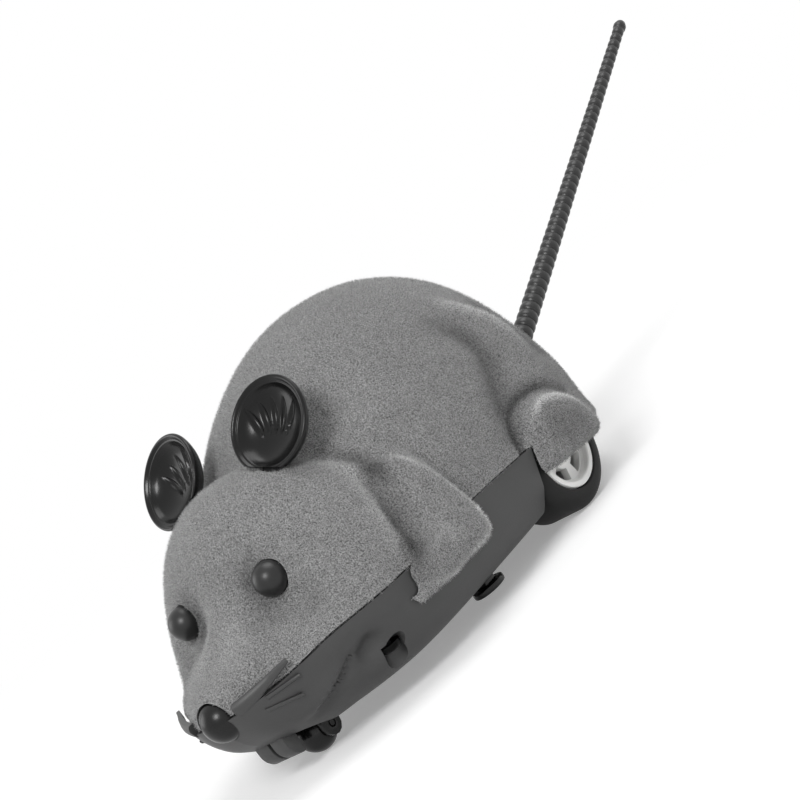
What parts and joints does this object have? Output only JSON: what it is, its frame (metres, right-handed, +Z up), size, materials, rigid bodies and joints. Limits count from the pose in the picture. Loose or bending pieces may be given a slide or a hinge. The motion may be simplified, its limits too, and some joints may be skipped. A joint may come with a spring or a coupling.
{
  "type": "robotic mouse cat toy",
  "caption": "Low mouse-shaped motor toy: flocked shell on a moulded chassis, geared rear wheels, swivelling front roller, slide switch under the belly and a ribbed aerial tail.",
  "frame": {"origin": "middle of the overall box, on the ground that the wheels and the front roller stand on", "axes": "+Y from the nose towards the tail, +Z up, +X towards the mouse's own left side"},
  "size_m": [0.0664, 0.2378, 0.0627],
  "materials": {
    "flocked_shell": "moulded ABS covered in short grey nylon flock",
    "chassis_abs": "dark grey moulded ABS, satin",
    "ear_abs": "near-black moulded ABS, glossy",
    "eye_abs": "near-black moulded ABS, glossy",
    "tail_rubber": "dark grey ribbed soft PVC",
    "antenna_steel": "drawn steel wire",
    "tyre_rubber": "black rubber with a rounded shoulder",
    "hub_abs": "white moulded ABS",
    "shaft_steel": "ground steel",
    "gear_acetal": "white moulded acetal",
    "pinion_brass": "cut brass",
    "gearbox_abs": "grey moulded ABS",
    "motor_steel": "plated drawn steel",
    "contact_steel": "nickel-plated spring steel",
    "cell_sleeve": null,
    "board_laminate": "green solder mask on laminate",
    "component_black": "black moulded epoxy",
    "component_tin": "tinned steel cans",
    "roller_abs": "near-black moulded acetal, glossy",
    "knob_abs": "black moulded ABS",
    "fastener_steel": "zinc-plated steel screws and washer"
  },
  "bodies": {
    "chassis": {"upper_shell": "flocked_shell", "lower_chassis": "chassis_abs", "ear_left": "ear_abs", "ear_right": "ear_abs", "eye_left": "eye_abs", "eye_right": "eye_abs", "tail_sheath": "tail_rubber", "antenna_wire": "antenna_steel", "idler_shaft": "shaft_steel", "gearbox_case": "gearbox_abs", "gearbox_cover": "gearbox_abs", "motor_end_cap": "gearbox_abs", "switch_body": "gearbox_abs", "motor_can": "motor_steel", "contact_bridge": "contact_steel", "contact_positive": "contact_steel", "contact_negative": "contact_steel", "battery_cell_left": "cell_sleeve", "battery_cell_right": "cell_sleeve", "receiver_board": "board_laminate", "receiver_chip": "component_black", "driver_chip": "component_black", "capacitor": "component_black", "tuning_coil": "component_tin", "crystal": "component_tin", "shell_screw_front_left": "fastener_steel", "shell_screw_front_right": "fastener_steel", "shell_screw_rear_left": "fastener_steel", "shell_screw_rear_right": "fastener_steel", "board_screw_left": "fastener_steel", "board_screw_right": "fastener_steel"},
    "rear_axle_set": {"rear_axle": "shaft_steel", "axle_gear": "gear_acetal", "wheel_hub_left": "hub_abs", "wheel_hub_right": "hub_abs", "tyre_left": "tyre_rubber", "tyre_right": "tyre_rubber"},
    "idler": {"idler_gear": "gear_acetal"},
    "motor_rotor": {"motor_shaft": "shaft_steel", "motor_pinion": "pinion_brass"},
    "caster": {"caster_yoke": "roller_abs", "caster_pin": "shaft_steel", "caster_washer": "fastener_steel", "caster_screw": "fastener_steel"},
    "roller": {"caster_roller": "roller_abs"},
    "switch_slider": {"switch_knob": "knob_abs"},
    "door": {"battery_door": "chassis_abs", "door_screw": "fastener_steel"}
  },
  "joints": [
    {"name": "rear_axle_spin", "type": "hinge", "parent": "chassis", "child": "rear_axle_set", "pos_m": [0, -0.03032, 0.012], "axis": [1, 0, 0], "continuous": true},
    {"name": "idler_spin", "type": "hinge", "parent": "chassis", "child": "idler", "pos_m": [0, -0.0261, 0.01995], "axis": [1, 0, 0], "continuous": true},
    {"name": "motor_spin", "type": "hinge", "parent": "chassis", "child": "motor_rotor", "pos_m": [0, -0.01729, 0.01808], "axis": [1, 0, 0], "continuous": true},
    {"name": "caster_swivel", "type": "hinge", "parent": "chassis", "child": "caster", "pos_m": [0, -0.10342, 0.0106], "axis": [0, 0, 1], "range_deg": [-40, 40]},
    {"name": "roller_spin", "type": "hinge", "parent": "caster", "child": "roller", "pos_m": [0, -0.09912, 0.004], "axis": [1, 0, 0], "continuous": true},
    {"name": "switch_slide", "type": "slide", "parent": "chassis", "child": "switch_slider", "axis": [0, 1, 0], "range_m": [-0.0015, 0.0015]},
    {"name": "battery_door_hinge", "type": "hinge", "parent": "chassis", "child": "door", "pos_m": [0, -0.09292, 0.005], "axis": [-1, 0, 0], "range_deg": [0, 30]}
  ],
  "couplings": [
    {"joint": "idler_spin", "follows": "rear_axle_spin", "ratio": -2.6},
    {"joint": "motor_spin", "follows": "rear_axle_spin", "ratio": 9.1}
  ]
}
